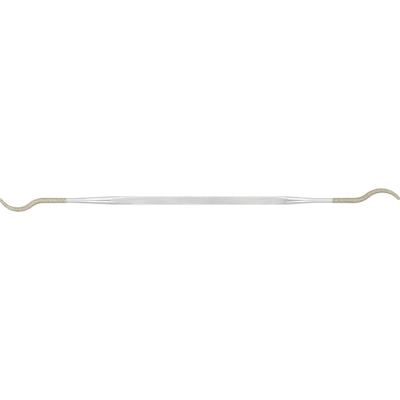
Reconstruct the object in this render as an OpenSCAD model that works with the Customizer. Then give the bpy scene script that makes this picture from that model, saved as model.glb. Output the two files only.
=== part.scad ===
// Double-ended riffler file with round hooked ends, plated with nickel that holds diamond grit.
// One steel blank is ground from square bar: a square grip, tapered shanks, round necks and bent cores.
// Each core carries a nickel bond, and each diamond grain sits in its own pocket in that nickel.
// The tool lies on its grip. X runs along it, Z is up, and the origin is the middle of the grip's underside.

/* [Whole tool] */
// Length over both tips
overall_l = 150; // [146:1:180]

/* [Grip] */
// Width across the flats of the square grip
grip_w = 3; // [2.6:0.1:4]
// Length of the grip at full thickness
grip_l = 66; // [40:1:68]
// How far each corner is turned back, along the diagonal of the square
corner_break = 0.12; // [0.06:0.02:0.24]

/* [Left shank] */
// From the grip at full thickness to the round neck
left_taper_l = 14.5; // [11:0.5:16]
// Length over which the flats fall and run out into the turned cone
left_runout_l = 8.5; // [6:0.5:10]
// Length of the turned cone, which starts on the corners of the grip
left_cone_l = 23.5; // [18:0.5:28]

/* [Right shank] */
// From the grip at full thickness to the round neck
right_taper_l = 9.5; // [8:0.5:14]
// Length over which the flats fall and run out into the turned cone
right_runout_l = 6; // [4:0.5:7]
// Length of the turned cone, which starts on the corners of the grip
right_cone_l = 15; // [12:0.5:20]

/* [Necks and cores] */
// Diameter of the round necks
neck_d = 1.62; // [1.4:0.02:2]
// How far the plating seat lies below the surface of the neck
seat_step = 0.06; // [0.02:0.005:0.07]
// How far the left core swells from the seat to the bend, on the radius
left_core_swell = 0.06; // [0:0.01:0.12]
// How far the right core swells from the seat to the bend, on the radius
right_core_swell = 0.05; // [0:0.01:0.12]
// Diameter of the left core at its rounded tip
left_core_tip_d = 0.68; // [0.6:0.02:1]
// Diameter of the right core at its rounded tip
right_core_tip_d = 0.84; // [0.6:0.02:1]

/* [Hooks] */
// Length of each plated end along the tool
coat_l = 25.3; // [22:0.1:26]
// Angle that the left hook leaves the line of the tool by
left_bend_angle = 39.5; // [30:0.25:45]
// Angle that the right hook leaves the line of the tool by
right_bend_angle = 39.25; // [30:0.25:45]
// Radius of both bends of the left hook
left_bend_r = 7.4; // [6:0.05:8.6]
// Radius of both bends of the right hook
right_bend_r = 8.25; // [6:0.05:8.6]
// Angle that the left tip points down by, past the top of the hook
left_tip_turn = 48; // [35:1:55]
// Angle that the right tip points down by, past the top of the hook
right_tip_turn = 49; // [35:1:55]
// Straight length at the end of the left hook
left_tip_l = 1.8; // [0.1:0.1:3]
// Straight length at the end of the right hook
right_tip_l = 0.2; // [0.1:0.1:3]

/* [Plating] */
// Thickness of the nickel bond
nickel_t = 0.075; // [0.065:0.005:0.1]
// Nickel left between a diamond grain and the core
tack_t = 0.012; // [0.008:0.002:0.02]
// Height of a diamond grain
grit_size = 0.126; // [0.11:0.002:0.15]
// Bare nickel between the neck and the first diamond grains
margin_l = 0.3; // [0.2:0.1:1.2]
// Distance between rows of diamond grains along the hook
grit_pitch = 0.8; // [0.7:0.05:1.2]
// Positions for diamond grains around the hook, every second one used
grit_sides = 16; // [12:2:18]

/* [Hidden] */
$fn = 64;

LEFT = 0;
RIGHT = 1;

// Blank, measured from the middle of the tool
half_l = overall_l / 2;
neck_r = neck_d / 2;
corner_r = grip_w / sqrt(2) - corner_break;
coat_x = half_l - coat_l;
taper_l = [left_taper_l, right_taper_l];
runout_l = [left_runout_l, right_runout_l];
cone_l = [left_cone_l, right_cone_l];
function neck_x(end) = grip_l / 2 + taper_l[end];
function cone_slope(end) = (corner_r - neck_r) / cone_l[end];
// Half width of the flats where they run out, which is the cone's radius there
function runout_r(end) = neck_r + cone_slope(end) * (taper_l[end] - runout_l[end]);
function flat_slope(end) = (grip_w / 2 - runout_r(end)) / runout_l[end];
// Half width of the planes of the flats at the neck, where they clear the turned surface
function flat_end_r(end) = grip_w / 2 - flat_slope(end) * taper_l[end];

// Hook path: straight from the neck, up one bend, over the top of a second and down to the tip
bend_angle = [left_bend_angle, right_bend_angle];
bend_r = [left_bend_r, right_bend_r];
tip_turn = [left_tip_turn, right_tip_turn];
tip_l = [left_tip_l, right_tip_l];
seat_r = neck_r - seat_step;
core_swell = [left_core_swell, right_core_swell];
tip_r = [left_core_tip_d / 2, right_core_tip_d / 2];
pocket_d = nickel_t - tack_t;
grain_proud = grit_size - pocket_d;
function arc_l(r, angle) = PI * r * angle / 180;
function top_x(end) = half_l - tip_r[end] - nickel_t
    - tip_l[end] * cos(tip_turn[end]) - bend_r[end] * sin(tip_turn[end]);
function bend_x(end) = top_x(end) - 2 * bend_r[end] * sin(bend_angle[end]);
function straight_l(end) = bend_x(end) - coat_x;
function rise_l(end) = straight_l(end) + arc_l(bend_r[end], bend_angle[end]);
function over_l(end) = rise_l(end) + arc_l(bend_r[end], bend_angle[end] + tip_turn[end]);
function path_l(end) = over_l(end) + tip_l[end];

// Direction of the path at a distance s from the plating seat
function heading(end, s) =
    s <= straight_l(end) ? 0
    : s <= rise_l(end) ? (s - straight_l(end)) / bend_r[end] * 180 / PI
    : s <= over_l(end) ? bend_angle[end] - (s - rise_l(end)) / bend_r[end] * 180 / PI
    : -tip_turn[end];
// Point on an arc of radius r that starts at p with heading h1 and ends at heading h2
function arc_end(p, r, h1, h2) = p + r * sign(h2 - h1) * [sin(h2) - sin(h1), cos(h1) - cos(h2)];
function rise_end(end) = arc_end([bend_x(end), 0], bend_r[end], 0, bend_angle[end]);
function over_end(end) = arc_end(rise_end(end), bend_r[end], bend_angle[end], -tip_turn[end]);
function path_point(end, s) =
    s <= straight_l(end) ? [coat_x + s, 0]
    : s <= rise_l(end) ? arc_end([bend_x(end), 0], bend_r[end], 0, heading(end, s))
    : s <= over_l(end) ? arc_end(rise_end(end), bend_r[end], bend_angle[end], heading(end, s))
    : over_end(end) + (s - over_l(end)) * [cos(tip_turn[end]), -sin(tip_turn[end])];
// Radius of the core where its bend starts
function belly_r(end) = seat_r + core_swell[end];
// Share of the way from the start of the bend to the tip
function past_bend(end, s) = (s - straight_l(end)) / (path_l(end) - straight_l(end));
// The core swells to the bend and then narrows to its tip, ever faster
function core_r(end, s) =
    s <= straight_l(end) ? seat_r + core_swell[end] * s / straight_l(end)
    : belly_r(end) - (belly_r(end) - tip_r[end]) * pow(past_bend(end, s), 2);

// Rings along the hook: [distance from the seat, cap angle]. The last ones round the tip.
cap_angles = [30, 60];
core_root_l = 1;
function body_rings(end) =
    let (rows = ceil((path_l(end) - margin_l) / grit_pitch))
    [for (i = [0 : rows]) [margin_l + (path_l(end) - margin_l) * i / rows, 0]];
function cap_rings(end) = [for (angle = cap_angles) [path_l(end), angle]];
function core_rings(end) = concat([[-core_root_l, 0]], body_rings(end), cap_rings(end));
function coat_rings(end) = concat([[0, 0]], body_rings(end), cap_rings(end));

// Axes of the hook at a ring: along the path, across it in the plane of the hook, and up
function along(h) = [cos(h), sin(h), 0];
function across(h) = [-sin(h), cos(h), 0];
UP = [0, 0, 1];
function spoke(h, j) = cos(360 * j / grit_sides) * across(h) + sin(360 * j / grit_sides) * UP;
function centre(end, s) = concat(path_point(end, s), [0]);
// Point j of a ring, at a height over the surface of the core
function skin_point(end, ring, j, height) =
    let (h = heading(end, ring[0]), r = core_r(end, ring[0]) + height)
    centre(end, ring[0]) + r * sin(ring[1]) * along(h) + r * cos(ring[1]) * spoke(h, j);
function pole(end, height) =
    centre(end, path_l(end)) + (tip_r[end] + height) * along(-tip_turn[end]);
function skin_points(end, rings, height) = concat(
    [for (ring = rings) for (j = [0 : grit_sides - 1]) skin_point(end, ring, j, height)],
    [pole(end, height)]);

// Faces of a skin whose points start at index first
function corner(first, i, j) = first + i * grit_sides + j % grit_sides;
function cell(first, i, j) =
    [corner(first, i, j), corner(first, i + 1, j), corner(first, i + 1, j + 1), corner(first, i, j + 1)];
function halves(q) = [[q[0], q[1], q[2]], [q[0], q[2], q[3]]];
function reversed(f) = [for (k = [len(f) - 1 : -1 : 0]) f[k]];
function tip_fan(first, rings) =
    [for (j = [0 : grit_sides - 1])
        [corner(first, rings - 1, j + 1), corner(first, rings - 1, j), first + rings * grit_sides]];
function plain_skin(first, rings) = concat(
    [for (i = [0 : rings - 2]) for (j = [0 : grit_sides - 1]) each halves(cell(first, i, j))],
    tip_fan(first, rings));

// Diamond grains: every second cell of the plated body that a grain fits, each turned and shifted a little
grain_turn = 35;
grain_shift = 0.08;
scatter_step = 137.5;
function scatter(i, j, salt) = sin(scatter_step * (i * grit_sides + j) * salt);
// Width of a cell at its end nearer the tip
function cell_w(end, i) = 2 * sin(180 / grit_sides) * (core_r(end, coat_rings(end)[i + 1][0]) + nickel_t);
function fits_grain(end, i) = cell_w(end, i) * (0.5 - grain_shift) > grit_size / 2;
function has_grain(end, i, j) =
    i > 0 && i < len(body_rings(end)) && (i + j) % 2 == 0 && fits_grain(end, i);
function grain_cells(end) =
    [for (i = [0 : len(coat_rings(end)) - 2]) for (j = [0 : grit_sides - 1])
        if (has_grain(end, i, j)) [i, j]];
// Points of a grain: four on the nickel's surface, one at the foot of its pocket and one proud of the nickel.
// A pocket has all of them but the last.
FOOT = 4;
PEAK = 5;
function grain_points(end, i, j) =
    let (
        rings = coat_rings(end),
        a = skin_point(end, rings[i], j, nickel_t),
        b = skin_point(end, rings[i], j + 1, nickel_t),
        c = skin_point(end, rings[i + 1], j + 1, nickel_t),
        d = skin_point(end, rings[i + 1], j, nickel_t),
        u = 0.5 + grain_shift * scatter(i, j, 3),
        v = 0.5 + grain_shift * scatter(i, j, 7),
        middle = (a * (1 - v) + b * v) * (1 - u) + (d * (1 - v) + c * v) * u,
        length_way = (c + d - a - b) / norm(c + d - a - b),
        out = cross(b + c - a - d, length_way) / norm(cross(b + c - a - d, length_way)),
        round_way = cross(length_way, out),
        first_corner = 225 - grain_turn * (1 + scatter(i, j, 1)) / 2
    )
    concat(
        [for (angle = [first_corner : 90 : first_corner + 270])
            middle + grit_size / 2 * (cos(angle) * length_way + sin(angle) * round_way)],
        [middle - pocket_d * out, middle + grain_proud * out]);

// A cell of the nickel with a pocket: a frame round the grain's square, and four faces down to the foot
function pocket_faces(q, first) = concat(
    [for (k = [0 : 3]) each [
        [q[k], q[(k + 1) % 4], first + (k + 1) % 4],
        [q[k], first + (k + 1) % 4, first + k],
        [first + k, first + (k + 1) % 4, first + FOOT]]]);
function grain_faces(first) = [for (k = [0 : 3]) each [
    [first + k, first + (k + 1) % 4, first + PEAK],
    [first + (k + 1) % 4, first + k, first + FOOT]]];

// Half outline of the flats, from the left neck to the right neck
flat_side = [
    [-coat_x, flat_end_r(LEFT)],
    [-neck_x(LEFT), flat_end_r(LEFT)],
    [-grip_l / 2, grip_w / 2],
    [grip_l / 2, grip_w / 2],
    [neck_x(RIGHT), flat_end_r(RIGHT)],
    [coat_x, flat_end_r(RIGHT)]];
flat_outline = concat(flat_side, reversed([for (p = flat_side) [p[0], -p[1]]]));

// Half section of the turned blank: radius and place along the tool
turned_section = [
    [0, -coat_x],
    [neck_r, -coat_x],
    [neck_r, -neck_x(LEFT)],
    [corner_r, -neck_x(LEFT) + cone_l[LEFT]],
    [corner_r, neck_x(RIGHT) - cone_l[RIGHT]],
    [neck_r, neck_x(RIGHT)],
    [neck_r, coat_x],
    [0, coat_x]];

module four_flats() {
    intersection() {
        linear_extrude(grip_w, center = true) polygon(flat_outline);
        rotate([90, 0, 0]) linear_extrude(grip_w, center = true) polygon(flat_outline);
    }
}

module turned_blank() {
    rotate([0, 90, 0]) rotate_extrude() polygon(turned_section);
}

// Bent core of one end, rooted in the neck
module core(end) {
    rings = core_rings(end);
    polyhedron(
        points = skin_points(end, rings, 0),
        faces = concat([[for (j = [0 : grit_sides - 1]) j]], plain_skin(0, len(rings))));
}

// Nickel over the core of one end, open at the neck, with a pocket for each diamond grain
module nickel_bond(end) {
    rings = coat_rings(end);
    skin = len(rings) * grit_sides + 1;
    grains = grain_cells(end);
    polyhedron(
        points = concat(
            skin_points(end, rings, nickel_t),
            skin_points(end, rings, 0),
            [for (g = grains) for (k = [0 : FOOT]) grain_points(end, g[0], g[1])[k]]),
        faces = concat(
            [for (i = [0 : len(rings) - 2]) for (j = [0 : grit_sides - 1])
                if (!has_grain(end, i, j)) each halves(cell(0, i, j))],
            [for (n = [0 : len(grains) - 1])
                each pocket_faces(cell(0, grains[n][0], grains[n][1]), 2 * skin + (FOOT + 1) * n)],
            tip_fan(0, len(rings)),
            [for (f = plain_skin(skin, len(rings))) reversed(f)],
            [for (j = [0 : grit_sides - 1])
                [corner(0, 0, j), corner(0, 0, j + 1), corner(skin, 0, j + 1), corner(skin, 0, j)]]));
}

// Diamond grains of one end, each a separate solid
module diamond_grit(end) {
    grains = grain_cells(end);
    polyhedron(
        points = [for (g = grains) each grain_points(end, g[0], g[1])],
        faces = [for (n = [0 : len(grains) - 1]) each grain_faces((PEAK + 1) * n)]);
}

// Puts what is made on the tool's own line in its place: lying on the grip, with the left end turned round
module laid(end) {
    translate([0, 0, grip_w / 2]) rotate([0, 0, end == LEFT ? 180 : 0]) children();
}

module steel_blank() {
    color("silver") union() {
        laid(RIGHT) intersection() {
            four_flats();
            turned_blank();
        }
        laid(LEFT) core(LEFT);
        laid(RIGHT) core(RIGHT);
    }
}

module left_nickel_bond() {
    color("tan") laid(LEFT) nickel_bond(LEFT);
}

module left_diamond_grit() {
    color("wheat") laid(LEFT) diamond_grit(LEFT);
}

module right_nickel_bond() {
    color("tan") laid(RIGHT) nickel_bond(RIGHT);
}

module right_diamond_grit() {
    color("wheat") laid(RIGHT) diamond_grit(RIGHT);
}

steel_blank();
left_nickel_bond();
left_diamond_grit();
right_nickel_bond();
right_diamond_grit();
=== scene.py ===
"""Double-ended riffler file: one ground steel blank with two hooked ends, plated with nickel that holds
diamond grit. Every size is in metres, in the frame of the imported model: X along the tool, Z up."""
import math

import bmesh
import bpy
import numpy as np
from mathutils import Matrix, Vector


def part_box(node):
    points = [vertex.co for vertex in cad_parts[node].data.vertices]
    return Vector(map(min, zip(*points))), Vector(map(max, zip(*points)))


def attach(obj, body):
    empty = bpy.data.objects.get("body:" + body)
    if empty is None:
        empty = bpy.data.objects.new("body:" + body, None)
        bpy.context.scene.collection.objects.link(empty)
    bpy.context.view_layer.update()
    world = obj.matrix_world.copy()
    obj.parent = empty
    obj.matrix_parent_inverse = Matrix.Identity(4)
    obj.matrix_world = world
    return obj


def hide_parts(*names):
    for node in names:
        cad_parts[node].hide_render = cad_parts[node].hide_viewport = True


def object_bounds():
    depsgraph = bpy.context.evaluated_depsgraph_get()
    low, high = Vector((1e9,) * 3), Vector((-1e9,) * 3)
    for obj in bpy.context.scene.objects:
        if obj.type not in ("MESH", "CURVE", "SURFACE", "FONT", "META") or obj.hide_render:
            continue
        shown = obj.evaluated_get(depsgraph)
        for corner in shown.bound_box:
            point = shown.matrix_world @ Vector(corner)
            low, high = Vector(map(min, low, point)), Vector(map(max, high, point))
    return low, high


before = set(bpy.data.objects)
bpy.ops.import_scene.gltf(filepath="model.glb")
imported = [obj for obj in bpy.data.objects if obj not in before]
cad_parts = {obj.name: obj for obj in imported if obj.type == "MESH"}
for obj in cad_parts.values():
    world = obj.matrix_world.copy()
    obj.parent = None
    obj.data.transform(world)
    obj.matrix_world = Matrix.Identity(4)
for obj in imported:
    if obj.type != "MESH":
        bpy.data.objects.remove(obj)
cad_lo, cad_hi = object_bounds()

# Steel blank: one length of square tool steel. It is ground on its four flats, which stay satin, turned
# down through two polished tapers to round necks, and bent cold into a hook at each end.
MM = 0.001
LEFT = -1
RIGHT = 1
SIDES = (LEFT, RIGHT)
blank_lo, blank_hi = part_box("steel_blank")
grip_w = blank_hi.z - blank_lo.z
axis_z = (blank_hi.z + blank_lo.z) / 2
half_l = 75 * MM
grip_l = 66 * MM
corner_break = 0.12 * MM
neck_r = 0.81 * MM
taper_l = {LEFT: 14.5 * MM, RIGHT: 9.5 * MM}
runout_l = {LEFT: 8.5 * MM, RIGHT: 6 * MM}
cone_l = {LEFT: 23.5 * MM, RIGHT: 15 * MM}
corner_r = grip_w / math.sqrt(2) - corner_break
edge_round = 0.015 * MM
profile_blend = 1.2 * MM


def soft_ramp(x, blend):
    """Like max(x, 0), with its kink rounded over the length blend."""
    return (x + np.sqrt(x * x + blend * blend)) / 2


def soft_min(a, b, blend):
    """The lower of a and b, with the crossing rounded over blend."""
    share = np.clip(0.5 + 0.5 * (b - a) / blend, 0, 1)
    return b + (a - b) * share - blend * share * (1 - share)


def cone_slope(side):
    """Fall of a turned cone's radius over its length."""
    return (corner_r - neck_r) / cone_l[side]


def turned_r(side, x):
    """Radius of the turned surface at a distance x from the middle of the tool."""
    to_neck = grip_l / 2 + taper_l[side] - x
    radius = neck_r + cone_slope(side) * soft_ramp(to_neck, profile_blend)
    return min(radius, corner_r)


def flat_half_w(side, x):
    """Distance of the planes of the four flats from the tool's axis at a distance x from its middle."""
    runout_r = neck_r + cone_slope(side) * (taper_l[side] - runout_l[side])
    fall = (grip_w / 2 - runout_r) / runout_l[side]
    past_grip = min(x, grip_l / 2 + taper_l[side]) - grip_l / 2
    return grip_w / 2 - fall * max(past_grip, 0)


FLAT_STEPS = 6
EDGE_STEPS = 4
ARC_STEPS = 4
EDGE_REACH = math.radians(1.5)
LEAST_EDGE = math.radians(5)
OCTANT = math.pi / 4


def section_angles(flat, radius):
    """Angles round one section, close together where a flat meets the turned surface."""
    edge = math.acos(min(flat / radius, 1))
    edge = min(max(edge, LEAST_EDGE), OCTANT - 2 * EDGE_REACH)
    octant = np.concatenate([
        np.linspace(0, edge - EDGE_REACH, FLAT_STEPS, endpoint=False),
        np.linspace(edge - EDGE_REACH, edge + EDGE_REACH, EDGE_STEPS, endpoint=False),
        np.linspace(edge + EDGE_REACH, OCTANT, ARC_STEPS, endpoint=False),
    ])
    mirrored = 2 * OCTANT - np.append(octant[1:], OCTANT)[::-1]
    quarter = np.concatenate([octant, mirrored])
    return np.concatenate([quarter + 2 * OCTANT * turn for turn in range(4)])


ROUND_ANGLES = section_angles(1, 1)


def ring(centre, heading, angles, radii):
    """Points round the tool's own line, which runs level through centre at the angle heading."""
    across = np.array([-math.sin(heading), math.cos(heading), 0])
    up = np.array([0, 0, 1])
    spokes = np.outer(np.cos(angles), across) + np.outer(np.sin(angles), up)
    return np.array([centre[0], centre[1], axis_z]) + spokes * np.reshape(radii, (-1, 1))


def shank_ring(x):
    """Section of the blank between its two plating seats."""
    side = LEFT if x < 0 else RIGHT
    flat = flat_half_w(side, abs(x))
    radius = turned_r(side, abs(x))
    angles = section_angles(flat, radius)
    to_flat = flat / np.maximum(np.abs(np.cos(angles)), np.abs(np.sin(angles)))
    return ring((x, 0), 0, angles, soft_min(to_flat, radius, edge_round))


# Hooks of the blank: a seat for the plating, a bend up and a bend over to the rounded tip.
coat_l = 25.3 * MM
coat_x = half_l - coat_l
nickel_t = 0.075 * MM
seat_step = 0.06 * MM
seat_r = neck_r - seat_step
core_swell = {LEFT: 0.06 * MM, RIGHT: 0.05 * MM}
tip_r = {LEFT: 0.34 * MM, RIGHT: 0.42 * MM}
bend_angle = {LEFT: math.radians(39.5), RIGHT: math.radians(39.25)}
bend_r = {LEFT: 7.4 * MM, RIGHT: 8.25 * MM}
tip_turn = {LEFT: math.radians(48), RIGHT: math.radians(49)}
tip_l = {LEFT: 1.8 * MM, RIGHT: 0.2 * MM}
PATH_STEPS = 2000


def hook_path(side):
    """Distances along a hook from its seat, the places and headings there, and where its bend starts."""
    top_x = half_l - tip_r[side] - nickel_t - tip_l[side] * math.cos(tip_turn[side])
    top_x -= bend_r[side] * math.sin(tip_turn[side])
    straight = top_x - 2 * bend_r[side] * math.sin(bend_angle[side]) - coat_x
    rise = bend_r[side] * bend_angle[side]
    over = bend_r[side] * (bend_angle[side] + tip_turn[side])
    knots = np.cumsum([0, straight, rise, over, tip_l[side]])
    s = np.linspace(0, knots[-1], PATH_STEPS)
    heading = np.interp(s, knots, [0, 0, bend_angle[side], -tip_turn[side], -tip_turn[side]])
    steps = np.diff(s)
    mean = (heading[1:] + heading[:-1]) / 2
    x = coat_x + np.append(0, np.cumsum(np.cos(mean) * steps))
    y = np.append(0, np.cumsum(np.sin(mean) * steps))
    return {"s": s, "x": x * side, "y": y * side, "heading": heading, "straight": straight}


hook = {side: hook_path(side) for side in SIDES}
hook_l = {side: hook[side]["s"][-1] for side in SIDES}


def hook_spot(side, s):
    """Place and heading on a hook at a distance s from its seat."""
    path = hook[side]
    x, y, heading = (np.interp(s, path["s"], path[key]) for key in ("x", "y", "heading"))
    return (x, y), heading


def hook_tip(side):
    """Middle of a hook's rounded tip, its heading and the way it points."""
    spot, heading = hook_spot(side, hook_l[side])
    return spot, heading, side * np.array([math.cos(heading), math.sin(heading)])


def core_r(side, s):
    """Radius of the bent core: it swells to the bend, then narrows to its tip ever faster."""
    straight = hook[side]["straight"]
    share = np.clip((s - straight) / (hook_l[side] - straight), 0, 1)
    swell = core_swell[side] * np.clip(s / straight, 0, 1)
    return seat_r + swell - (seat_r + core_swell[side] - tip_r[side]) * share ** 2


CAP_STEPS = 6


def hook_rings(side, distances, height):
    """Round sections along a hook and its tip, at a height over the core, and the point that ends it."""
    rings = []
    for s in distances:
        spot, heading = hook_spot(side, s)
        rings.append(ring(spot, heading, ROUND_ANGLES, core_r(side, s) + height))
    spot, heading, forward = hook_tip(side)
    radius = tip_r[side] + height
    for k in range(1, CAP_STEPS):
        lift = math.pi / 2 * k / CAP_STEPS
        centre = spot + forward * radius * math.sin(lift)
        rings.append(ring(centre, heading, ROUND_ANGLES, radius * math.cos(lift)))
    pole = np.append(spot + forward * radius, axis_z)
    return rings, pole


def skin_object(name, first_pole, rings, last_pole):
    """Smooth closed mesh through rings of points that run towards +X, with a point at each end."""
    count = len(rings[0])
    last = 1 + count * len(rings)
    faces = []
    for i in range(len(rings) - 1):
        for j in range(count):
            here = 1 + i * count
            after = (j + 1) % count
            faces.append((here + j, here + after, here + count + after, here + count + j))
    for j in range(count):
        after = (j + 1) % count
        faces.append((0, 1 + after, 1 + j))
        faces.append((last, last - count + j, last - count + after))
    points = np.concatenate([[first_pole], *rings, [last_pole]])
    mesh = bpy.data.meshes.new(name)
    mesh.from_pydata(points.tolist(), [], faces)
    mesh.shade_smooth()
    piece = bpy.data.objects.new(name, mesh)
    bpy.context.scene.collection.objects.link(piece)
    return piece


SHANK_RINGS = {LEFT: 110, RIGHT: 100}
GRIP_RINGS = 24
grip_inset = 2 * MM
seat_support = 0.02 * MM
core_step = 1 * MM
cone_start = {side: grip_l / 2 + taper_l[side] - cone_l[side] for side in SIDES}
grip_xs = np.linspace(grip_inset - cone_start[LEFT], cone_start[RIGHT] - grip_inset, GRIP_RINGS)
shank_xs = np.concatenate([
    [-coat_x, -coat_x + seat_support],
    np.linspace(-coat_x + 2 * seat_support, grip_xs[0], SHANK_RINGS[LEFT], endpoint=False),
    grip_xs,
    np.linspace(coat_x - 2 * seat_support, grip_xs[-1], SHANK_RINGS[RIGHT], endpoint=False)[::-1],
    [coat_x - seat_support, coat_x],
])
core = {}
for side in SIDES:
    core[side] = hook_rings(side, np.linspace(0, hook_l[side], round(hook_l[side] / core_step)), 0)
blank = skin_object(
    "riffler_blank",
    core[LEFT][1],
    core[LEFT][0][::-1] + [shank_ring(x) for x in shank_xs] + core[RIGHT][0],
    core[RIGHT][1],
)


def new_group(name, inputs, outputs):
    """Shader node group with named sockets, given as (name, kind, default) and (name, kind)."""
    group = bpy.data.node_groups.new(name, "ShaderNodeTree")
    for socket, kind, default in inputs:
        made = group.interface.new_socket(socket, in_out="INPUT", socket_type=kind)
        if default is not None:
            made.default_value = default
    for socket, kind in outputs:
        group.interface.new_socket(socket, in_out="OUTPUT", socket_type=kind)
    return group, group.nodes.new("NodeGroupInput"), group.nodes.new("NodeGroupOutput")


def wire(tree, *pairs):
    """Joins sockets of a node tree, each pair written as source, target."""
    for source, target in pairs:
        tree.links.new(source, target)


def feed(tree, socket, value):
    """Joins an input to another socket, or sets it to a plain value."""
    if isinstance(value, bpy.types.NodeSocket):
        tree.links.new(value, socket)
    else:
        socket.default_value = value


def math_node(tree, operation, *values):
    """Math node whose inputs are sockets or plain numbers; returns its output."""
    node = tree.nodes.new("ShaderNodeMath")
    node.operation = operation
    for socket, value in zip(node.inputs, values):
        feed(tree, socket, value)
    return node.outputs[0]


def ramp_node(tree, value, stops):
    """Colour ramp with stops given as (position, colour); returns its colour."""
    node = tree.nodes.new("ShaderNodeValToRGB")
    elements = node.color_ramp.elements
    while len(elements) < len(stops):
        elements.new(0.5)
    for element, (position, colour) in zip(elements, stops):
        element.position = position
        element.color = (*colour, 1)
    tree.links.new(value, node.inputs["Fac"])
    return node.outputs["Color"]


# A Mix node has separate sockets for each kind of data: the numbers of its two inputs and its output.
MIX_SOCKETS = {"FLOAT": (2, 3, 0), "RGBA": (6, 7, 2)}


def mix_node(tree, kind, factor, first, second, blend_type="MIX"):
    """Mix of two numbers or colours, each a socket or a plain value; returns its output."""
    node = tree.nodes.new("ShaderNodeMix")
    node.data_type = kind
    node.blend_type = blend_type
    first_socket, second_socket, result = MIX_SOCKETS[kind]
    feed(tree, node.inputs[0], factor)
    feed(tree, node.inputs[first_socket], first)
    feed(tree, node.inputs[second_socket], second)
    return node.outputs[result]


def range_node(tree, value, low, high):
    """Takes a value between 0 and 1 to one between low and high; returns its socket."""
    node = tree.nodes.new("ShaderNodeMapRange")
    node.inputs["To Min"].default_value = low
    node.inputs["To Max"].default_value = high
    tree.links.new(value, node.inputs["Value"])
    return node.outputs["Result"]


def new_material(name):
    """Material with a plain Principled surface; returns it, its node tree and the shader."""
    material = bpy.data.materials.new(name)
    material.use_nodes = True
    return material, material.node_tree, material.node_tree.nodes["Principled BSDF"]


# Tool marks that abrasives leave: long fine lines along one way of the surface, given as a height.
tool_marks, marks_in, marks_out = new_group(
    "Tool marks",
    [
        ("Position", "NodeSocketVector", None),
        ("Line length", "NodeSocketFloat", 6 * MM),
        ("Line width", "NodeSocketFloat", 0.05 * MM),
        ("Seed", "NodeSocketFloat", 0),
    ],
    [("Height", "NodeSocketFloat")],
)
along_scale = math_node(tool_marks, "DIVIDE", 1, marks_in.outputs["Line length"])
across_scale = math_node(tool_marks, "DIVIDE", 1, marks_in.outputs["Line width"])
marks_scale = tool_marks.nodes.new("ShaderNodeCombineXYZ")
marks_stretch = tool_marks.nodes.new("ShaderNodeVectorMath")
marks_stretch.operation = "MULTIPLY"
marks_noise = tool_marks.nodes.new("ShaderNodeTexNoise")
marks_noise.noise_dimensions = "4D"
marks_noise.inputs["Scale"].default_value = 1
marks_noise.inputs["Detail"].default_value = 2
wire(
    tool_marks,
    (along_scale, marks_scale.inputs["X"]),
    (across_scale, marks_scale.inputs["Y"]),
    (across_scale, marks_scale.inputs["Z"]),
    (marks_in.outputs["Position"], marks_stretch.inputs[0]),
    (marks_scale.outputs["Vector"], marks_stretch.inputs[1]),
    (marks_stretch.outputs["Vector"], marks_noise.inputs["Vector"]),
    (marks_in.outputs["Seed"], marks_noise.inputs["W"]),
    (marks_noise.outputs["Fac"], marks_out.inputs["Height"]),
)

# Soft clouds: slow changes of tone that handling, wheels and baths leave on metal. The noise keeps near its
# middle, so it is stretched about that before it counts.
NOISE_MIDDLE = 0.5
CLOUD_STRETCH = 4
soft_clouds, clouds_in, clouds_out = new_group(
    "Soft clouds",
    [
        ("Position", "NodeSocketVector", None),
        ("Size", "NodeSocketFloat", 10 * MM),
        ("Seed", "NodeSocketFloat", 0),
        ("Amount", "NodeSocketFloat", 0.05),
    ],
    [("Tone", "NodeSocketFloat")],
)
clouds_noise = soft_clouds.nodes.new("ShaderNodeTexNoise")
clouds_noise.noise_dimensions = "4D"
clouds_noise.inputs["Detail"].default_value = 1
clouds_scale = math_node(soft_clouds, "DIVIDE", 1, clouds_in.outputs["Size"])
clouds_swing = math_node(soft_clouds, "SUBTRACT", clouds_noise.outputs["Fac"], NOISE_MIDDLE)
clouds_spread = math_node(soft_clouds, "MULTIPLY", clouds_swing, CLOUD_STRETCH)
clouds_tone = math_node(soft_clouds, "MULTIPLY_ADD", clouds_spread, clouds_in.outputs["Amount"], 1)
wire(
    soft_clouds,
    (clouds_in.outputs["Position"], clouds_noise.inputs["Vector"]),
    (clouds_scale, clouds_noise.inputs["Scale"]),
    (clouds_in.outputs["Seed"], clouds_noise.inputs["W"]),
    (clouds_tone, clouds_out.inputs["Tone"]),
)


def place_group(tree, group, position, values):
    """Puts a shader node group into a material with its own values by socket name; returns the node."""
    node = tree.nodes.new("ShaderNodeGroup")
    node.node_tree = group
    tree.links.new(position, node.inputs["Position"])
    for socket, value in values.items():
        node.inputs[socket].default_value = value
    return node


# Steel finish: satin ground flats, polished turned surfaces and slightly darker necks.
TURNED = "turned"
edge_band = 0.03 * MM


def turned_share(point):
    """0 on the four flats and 1 on the turned surface, which meet within a narrow band."""
    if abs(point.x) > coat_x:
        return 1
    to_plane = max(abs(point.y), abs(point.z - axis_z))
    below_flat = flat_half_w(LEFT if point.x < 0 else RIGHT, abs(point.x)) - to_plane
    return min(max(below_flat / edge_band, 0), 1)


turned_mark = blank.data.attributes.new(TURNED, "FLOAT", "POINT")
turned_mark.data.foreach_set("value", [turned_share(v.co) for v in blank.data.vertices])

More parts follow.
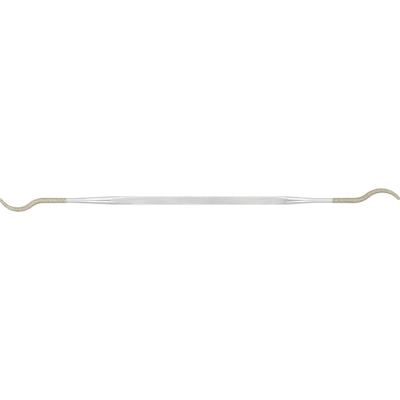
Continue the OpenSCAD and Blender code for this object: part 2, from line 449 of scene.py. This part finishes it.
GROUND_GREY = (0.643, 0.636, 0.623)
POLISHED_GREY = (0.77, 0.77, 0.77)
NECK_GREY = (0.65, 0.65, 0.65)
GROUND_ROUGHNESS = 0.36
POLISHED_ROUGHNESS = 0.06
ROUGHNESS_LEAST = 0.8
ROUGHNESS_RISE = 0.4
FINE_LINES = {"Line length": 3 * MM, "Line width": 0.03 * MM}
BROAD_LINES = {"Line length": 9 * MM, "Line width": 0.3 * MM, "Seed": 4.0}
TURNING_LINES = {"Line length": 0.05 * MM, "Line width": 4 * MM, "Seed": 9.0}
BROAD_SHARE = 0.6
FINE_SHARE = 0.4
LINE_CONTRAST = 0.16
DARKEST_AT = 0.3
LIGHTEST_AT = 0.7
GRIP_CLOUDS = {"Size": 16 * MM, "Seed": 4.4, "Amount": 0.08}
STEEL_BUMP = 0.25
line_depth = 0.004 * MM
flats_polish_x = {LEFT: (32.5 * MM, 34.5 * MM), RIGHT: (29.0 * MM, 36.0 * MM)}
neck_tone_x = {LEFT: (39.0 * MM, 45.0 * MM), RIGHT: (38.0 * MM, 43.0 * MM)}

steel, steel_tree, steel_shader = new_material("ground_and_polished_steel")
steel_shader.inputs["Metallic"].default_value = 1
steel_place = steel_tree.nodes.new("ShaderNodeTexCoord").outputs["Object"]
steel_xyz = steel_tree.nodes.new("ShaderNodeSeparateXYZ")
wire(steel_tree, (steel_place, steel_xyz.inputs["Vector"]))
reach = {LEFT: math_node(steel_tree, "MULTIPLY", steel_xyz.outputs["X"], -1), RIGHT: steel_xyz.outputs["X"]}


def smooth_step(tree, value, low, high):
    """Runs smoothly from 0 to 1 as a value goes from low to high; returns its socket."""
    node = tree.nodes.new("ShaderNodeMapRange")
    node.interpolation_type = "SMOOTHSTEP"
    node.inputs["From Min"].default_value = low
    node.inputs["From Max"].default_value = high
    tree.links.new(value, node.inputs["Value"])
    return node.outputs["Result"]


def towards_ends(starts):
    """Mask that runs from 0 to 1 towards each end of the tool, between two distances from its middle."""
    masks = [smooth_step(steel_tree, reach[side], *starts[side]) for side in SIDES]
    return math_node(steel_tree, "MAXIMUM", *masks)


turned = steel_tree.nodes.new("ShaderNodeAttribute")
turned.attribute_name = TURNED
polished = math_node(steel_tree, "MAXIMUM", turned.outputs["Fac"], towards_ends(flats_polish_x))
fine_height = place_group(steel_tree, tool_marks, steel_place, FINE_LINES).outputs["Height"]
broad_height = place_group(steel_tree, tool_marks, steel_place, BROAD_LINES).outputs["Height"]
turning_height = place_group(steel_tree, tool_marks, steel_place, TURNING_LINES).outputs["Height"]
fine_tone = math_node(steel_tree, "MULTIPLY", fine_height, FINE_SHARE)
line_tone = math_node(steel_tree, "MULTIPLY_ADD", broad_height, BROAD_SHARE, fine_tone)
ground_colour = ramp_node(steel_tree, line_tone, [
    (DARKEST_AT, tuple(c * (1 - LINE_CONTRAST) for c in GROUND_GREY)),
    (LIGHTEST_AT, tuple(c * (1 + LINE_CONTRAST) for c in GROUND_GREY)),
])
grip_tone = place_group(steel_tree, soft_clouds, steel_place, GRIP_CLOUDS).outputs["Tone"]
clouded_ground = mix_node(steel_tree, "RGBA", 1, ground_colour, grip_tone, blend_type="MULTIPLY")
neck_share = towards_ends(neck_tone_x)
polished_colour = mix_node(steel_tree, "RGBA", neck_share, (*POLISHED_GREY, 1), (*NECK_GREY, 1))
steel_colour = mix_node(steel_tree, "RGBA", polished, clouded_ground, polished_colour)
rough_base = range_node(steel_tree, polished, GROUND_ROUGHNESS, POLISHED_ROUGHNESS)
rough_lines = math_node(steel_tree, "MULTIPLY_ADD", fine_height, ROUGHNESS_RISE, ROUGHNESS_LEAST)
steel_bump = steel_tree.nodes.new("ShaderNodeBump")
steel_bump.inputs["Strength"].default_value = STEEL_BUMP
steel_bump.inputs["Distance"].default_value = line_depth
wire(
    steel_tree,
    (mix_node(steel_tree, "FLOAT", polished, fine_height, turning_height), steel_bump.inputs["Height"]),
    (steel_colour, steel_shader.inputs["Base Color"]),
    (math_node(steel_tree, "MULTIPLY", rough_base, rough_lines), steel_shader.inputs["Roughness"]),
    (steel_bump.outputs["Normal"], steel_shader.inputs["Normal"]),
)
blank.data.materials.append(steel)
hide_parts("steel_blank")
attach(blank, "root")

# Nickel bonds: plating grown over each bent core from a bath, 0.075 mm thick, which holds the diamond.
# Each starts at the neck in a rounded lip with a short bare margin, and wraps the rounded tip.
LIP_STEPS = 5
lip_l = 0.06 * MM
bond_step = 0.16 * MM
wave_height = 0.003 * MM
wave_length = 0.32 * MM
WAVE_WAYS = np.array([[1, 0.3, -0.2], [-0.4, 1, 0.5], [0.2, -0.6, 1]])


def wavy(points):
    """Slight uneven growth of the plating, as a height at each point, from three waves on a slant."""
    turns = 2 * math.pi / wave_length * (points @ WAVE_WAYS)
    return wave_height * np.sin(turns).sum(axis=1) / len(WAVE_WAYS)


def bond_rings(side):
    """Rings of a bond from the inner point of its tip, back to the lip and out over its own surface."""
    inner, inner_pole = core[side]
    lip = lip_l * (1 - np.cos(np.linspace(0, math.pi / 2, LIP_STEPS)))
    body = np.linspace(lip_l, hook_l[side], round(hook_l[side] / bond_step))[1:]
    outer, outer_pole = hook_rings(side, np.concatenate([lip, body]), nickel_t)
    for k, s in enumerate(lip):
        spot, heading = hook_spot(side, s)
        rise = math.sin(math.pi / 2 * k / (LIP_STEPS - 1))
        rounded = seat_step + (nickel_t - seat_step) * rise
        outer[k] = ring(spot, heading, ROUND_ANGLES, core_r(side, s) + rounded)
    for k in range(LIP_STEPS, len(outer)):
        spokes = outer[k] - outer[k].mean(axis=0)
        lengths = np.linalg.norm(spokes, axis=1, keepdims=True)
        outer[k] = outer[k] + spokes / lengths * wavy(outer[k])[:, None]
    return inner_pole, inner[::-1] + outer, outer_pole


NICKEL_DARK = {LEFT: (0.66, 0.615, 0.52), RIGHT: (0.58, 0.53, 0.435)}
NICKEL_LIGHT = {LEFT: (0.8, 0.755, 0.645), RIGHT: (0.7, 0.645, 0.535)}
NICKEL_ROUGHNESS = (0.24, 0.34)
NICKEL_CLOUDS = {"Size": 4 * MM, "Amount": 0.06}
NICKEL_BUMP = 0.4
growth_size = 0.12 * MM
growth_height = 0.01 * MM


def plated_nickel(end, dark, light):
    """Uneven warm nickel: a fine growth sets its tone, gloss and bumps, and soft clouds run along it."""
    material, tree, shader = new_material(f"{end}_plated_nickel")
    shader.inputs["Metallic"].default_value = 1
    place = tree.nodes.new("ShaderNodeTexCoord").outputs["Object"]
    noise = tree.nodes.new("ShaderNodeTexNoise")
    noise.inputs["Scale"].default_value = 1 / growth_size
    noise.inputs["Detail"].default_value = 3
    growth = noise.outputs["Fac"]
    grown = ramp_node(tree, growth, [(DARKEST_AT, dark), (LIGHTEST_AT, light)])
    clouds = place_group(tree, soft_clouds, place, NICKEL_CLOUDS)
    bump = tree.nodes.new("ShaderNodeBump")
    bump.inputs["Strength"].default_value = NICKEL_BUMP
    bump.inputs["Distance"].default_value = growth_height
    colour = mix_node(tree, "RGBA", 1, grown, clouds.outputs["Tone"], blend_type="MULTIPLY")
    wire(
        tree,
        (place, noise.inputs["Vector"]),
        (growth, bump.inputs["Height"]),
        (colour, shader.inputs["Base Color"]),
        (range_node(tree, growth, *NICKEL_ROUGHNESS), shader.inputs["Roughness"]),
        (bump.outputs["Normal"], shader.inputs["Normal"]),
    )
    return material


END_NAMES = {LEFT: "left", RIGHT: "right"}
for side, end in END_NAMES.items():
    first_pole, rings, last_pole = bond_rings(side)
    if side == LEFT:
        first_pole, rings, last_pole = last_pole, rings[::-1], first_pole
    bond = skin_object(f"{end}_plated_bond", first_pole, rings, last_pole)
    bond.data.materials.append(plated_nickel(end, NICKEL_DARK[side], NICKEL_LIGHT[side]))
    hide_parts(f"{end}_nickel_bond")
    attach(bond, "root")

# Diamond grit: blocky yellow-brown crystals of the 126 micrometre grade, partly clear, which the nickel grew
# round. They stand a little over half out of it, in one scattered layer from the bare margin to the tip.
grit_size = 0.126 * MM
grit_pitch = 0.175 * MM
margin_l = 0.1 * MM
grain_lift = 0.01 * MM
SIZE_SPREAD = (0.78, 1.12)
JITTER = 0.28
TILT = 0.12
GAP_SHARE = 0.04
SEEDS = {LEFT: 11, RIGHT: 23}


def crystal():
    """Points and triangles of a cube with its corners cut back to the middles of its edges, 2 units wide."""
    block = bmesh.new()
    bmesh.ops.create_cube(block, size=2)
    corners = np.array([v.co for v in block.verts])
    pairs = [(e.verts[0].index, e.verts[1].index) for e in block.edges]
    block.free()
    cut = bmesh.new()
    for a, b in pairs:
        cut.verts.new((corners[a] + corners[b]) / 2)
    bmesh.ops.convex_hull(cut, input=cut.verts)
    cut.verts.index_update()
    bmesh.ops.triangulate(cut, faces=cut.faces)
    bmesh.ops.recalc_face_normals(cut, faces=cut.faces)
    points = np.array([v.co for v in cut.verts])
    triangles = np.array([[v.index for v in f.verts] for f in cut.faces])
    cut.free()
    return points, triangles


def unit(vectors):
    """The same directions, each of length 1."""
    return vectors / np.linalg.norm(vectors, axis=-1, keepdims=True)


def resting_turns(rng, outs):
    """Rotations that lay each crystal on a flat face, turned any way on it and tilted a little."""
    ups = unit(outs + rng.normal(scale=TILT, size=outs.shape))
    sides = unit(np.cross(ups, rng.normal(size=outs.shape)))
    return np.stack([sides, np.cross(ups, sides), ups], axis=-1)


def grain_spots(side, rng):
    """Middles and outward lines of the grains: staggered rows, each grain shifted, some left out."""
    middles = []
    outs = []
    row_pitch = grit_pitch * math.sqrt(3) / 2
    for row, s in enumerate(np.arange(margin_l, hook_l[side], row_pitch)):
        radius = core_r(side, s) + nickel_t + grain_lift
        count = round(2 * math.pi * radius / grit_pitch)
        shift = rng.uniform(-JITTER, JITTER, (2, count))
        kept = rng.random(count) > GAP_SHARE
        for j in np.flatnonzero(kept):
            angle = 2 * math.pi * (j + row % 2 / 2 + shift[0, j]) / count
            spot, heading = hook_spot(side, s + shift[1, j] * row_pitch)
            middles.append(ring(spot, heading, np.array([angle]), radius)[0])
            outs.append(middles[-1] - np.append(spot, axis_z))
    spot, heading, forward = hook_tip(side)
    radius = tip_r[side] + nickel_t + grain_lift
    lift_step = row_pitch / tip_r[side]
    for lift in np.arange(lift_step, math.pi / 2, lift_step):
        count = max(round(2 * math.pi * radius * math.cos(lift) / grit_pitch), 1)
        angles = 2 * math.pi * (np.arange(count) + rng.uniform(-JITTER, JITTER, count)) / count
        cap = ring(spot + forward * radius * math.sin(lift), heading, angles, radius * math.cos(lift))
        middles.extend(cap)
        outs.extend(cap - np.append(spot, axis_z))
    return np.array(middles), unit(np.array(outs))


GRAIN_TONE_AND_SHADE = "grain_tone_and_shade"
DIAMOND_TONES = [
    (0.0, (0.12, 0.094, 0.035)),
    (0.35, (0.31, 0.252, 0.105)),
    (0.7, (0.54, 0.45, 0.215)),
    (1.0, (0.72, 0.635, 0.36)),
]
GRAIN_TONE_REACH = {LEFT: (0.57, 0.84), RIGHT: (0.35, 0.62)}
# Painted light and shade on the grains: the share of the tone range by which a grain's top is made lighter
# and its foot darker.
PAINTED_TOP_LIGHT = 0.6
DIAMOND_INDEX = 2.42
DIAMOND_ROUGHNESS = 0.15
DIAMOND_CLEARNESS = 0.53
diamond, diamond_tree, diamond_shader = new_material("diamond_grit")
diamond_shader.inputs["Roughness"].default_value = DIAMOND_ROUGHNESS
diamond_shader.inputs["IOR"].default_value = DIAMOND_INDEX
diamond_shader.inputs["Transmission Weight"].default_value = DIAMOND_CLEARNESS
grain_tone_and_shade = diamond_tree.nodes.new("ShaderNodeAttribute")
grain_tone_and_shade.attribute_name = GRAIN_TONE_AND_SHADE
diamond_colour = ramp_node(diamond_tree, grain_tone_and_shade.outputs["Fac"], DIAMOND_TONES)
wire(diamond_tree, (diamond_colour, diamond_shader.inputs["Base Color"]))
block_points, block_triangles = crystal()
for side, end in END_NAMES.items():
    rng = np.random.default_rng(SEEDS[side])
    middles, outs = grain_spots(side, rng)
    sizes = grit_size / 2 * rng.uniform(*SIZE_SPREAD, (len(middles), 1, 3))
    laid = np.einsum("nij,nkj->nki", resting_turns(rng, outs), block_points * sizes)
    points = (laid + middles[:, None, :]).reshape(-1, 3)
    starts = len(block_points) * np.arange(len(middles))
    triangles = (block_triangles[None, :, :] + starts[:, None, None]).reshape(-1, 3)
    mesh = bpy.data.meshes.new(f"{end}_grit")
    mesh.from_pydata(points.tolist(), [], triangles.tolist())
    # Each grain has a tone of its own, and painted shade makes it lighter at its top and darker at its foot.
    tones = rng.uniform(*GRAIN_TONE_REACH[side], len(middles))
    lifts = np.einsum("nki,ni->nk", laid, outs) / (grit_size / 2)
    tones_and_painted_shade = np.clip(tones[:, None] + PAINTED_TOP_LIGHT * lifts, 0, 1)
    mesh.attributes.new(GRAIN_TONE_AND_SHADE, "FLOAT", "POINT").data.foreach_set("value", tones_and_painted_shade.ravel())
    grit = bpy.data.objects.new(f"{end}_grit", mesh)
    bpy.context.scene.collection.objects.link(grit)
    grit.data.materials.append(diamond)
    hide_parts(f"{end}_diamond_grit")
    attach(grit, "root")

# Floor: the plain pale table top that the tool lies on. It shows white to the camera and pale in the metal
# and the grains, and takes a faint shadow on its own grey surface.
FLOOR_W = 3.0
FLOOR_GREY = 0.12
FLOOR_GLOW = 0.9
MIRRORED_GLOW = 0.49
floor_corners = [
    (x * FLOOR_W / 2, y * FLOOR_W / 2, cad_lo.z)
    for x, y in ((-1, -1), (1, -1), (1, 1), (-1, 1))
]
floor_mesh = bpy.data.meshes.new("floor")
floor_mesh.from_pydata(floor_corners, [], [(0, 1, 2, 3)])
floor = bpy.data.objects.new("floor", floor_mesh)
bpy.context.scene.collection.objects.link(floor)
pale = bpy.data.materials.new("pale_floor")
pale.use_nodes = True
pale_tree = pale.node_tree
pale_tree.nodes.clear()
matt = pale_tree.nodes.new("ShaderNodeBsdfDiffuse")
matt.inputs["Color"].default_value = (FLOOR_GREY, FLOOR_GREY, FLOOR_GREY, 1)
glow = pale_tree.nodes.new("ShaderNodeEmission")
rays = pale_tree.nodes.new("ShaderNodeLightPath").outputs
mirrored = math_node(pale_tree, "MAXIMUM", rays["Is Glossy Ray"], rays["Is Transmission Ray"])
mirrored_glow = math_node(pale_tree, "MULTIPLY", mirrored, MIRRORED_GLOW)
glow_level = math_node(pale_tree, "MULTIPLY_ADD", rays["Is Camera Ray"], FLOOR_GLOW, mirrored_glow)
both = pale_tree.nodes.new("ShaderNodeAddShader")
pale_out = pale_tree.nodes.new("ShaderNodeOutputMaterial")
wire(
    pale_tree,
    (glow_level, glow.inputs["Strength"]),
    (matt.outputs["BSDF"], both.inputs[0]),
    (glow.outputs["Emission"], both.inputs[1]),
    (both.outputs["Shader"], pale_out.inputs["Surface"]),
)
floor.data.materials.append(pale)

# Studio light: an even pale tent and four long soft boxes beside the camera, none of them straight above,
# so that flats stay grey and the turned tapers show bright bands.
ROOM_LEVEL = 0.57
world = bpy.data.worlds.new("pale_room")
world.use_nodes = True
room = world.node_tree.nodes["Background"]
room.inputs["Color"].default_value = (1, 1, 1, 1)
room.inputs["Strength"].default_value = ROOM_LEVEL
bpy.context.scene.world = world
BOX_LENGTH = 3.0
BOX_DISTANCE = 1.0


def soft_box(name, near, far, level):
    """Long lamp facing the tool between two angles off the vertical, above 0 towards +Y, at a radiance."""
    width = 2 * BOX_DISTANCE * math.tan(math.radians(abs(far - near)) / 2)
    lamp = bpy.data.lights.new(name, "AREA")
    lamp.shape = "RECTANGLE"
    lamp.size = BOX_LENGTH
    lamp.size_y = width
    lamp.energy = level * math.pi * BOX_LENGTH * width
    middle = math.radians((near + far) / 2)
    box = bpy.data.objects.new(name, lamp)
    box.location = (0, BOX_DISTANCE * math.sin(middle), BOX_DISTANCE * math.cos(middle))
    box.rotation_euler = (-middle, 0, 0)
    box.visible_camera = False
    bpy.context.scene.collection.objects.link(box)


soft_box("near_box", near=-6, far=-54, level=0.85)
soft_box("low_near_box", near=-66, far=-84, level=0.15)
soft_box("far_box", near=7, far=53, level=0.76)
soft_box("low_far_box", near=57, far=90, level=0.7)

# Camera: straight above the tool with a long lens, framed as the photograph is.
CAMERA_HEIGHT = 1.2
NEAREST_SEEN = 0.1
FARTHEST_SEEN = 10
view_w = 149.62 * MM
view_middle = (0.187 * MM, 0.18 * MM)
camera_data = bpy.data.cameras.new("camera")
camera_data.lens = camera_data.sensor_width * CAMERA_HEIGHT / view_w
camera_data.clip_start = NEAREST_SEEN
camera_data.clip_end = FARTHEST_SEEN
camera = bpy.data.objects.new("camera", camera_data)
camera.location = (*view_middle, axis_z + CAMERA_HEIGHT)
bpy.context.scene.collection.objects.link(camera)
bpy.context.scene.camera = camera
bpy.context.scene.view_settings.view_transform = "Standard"
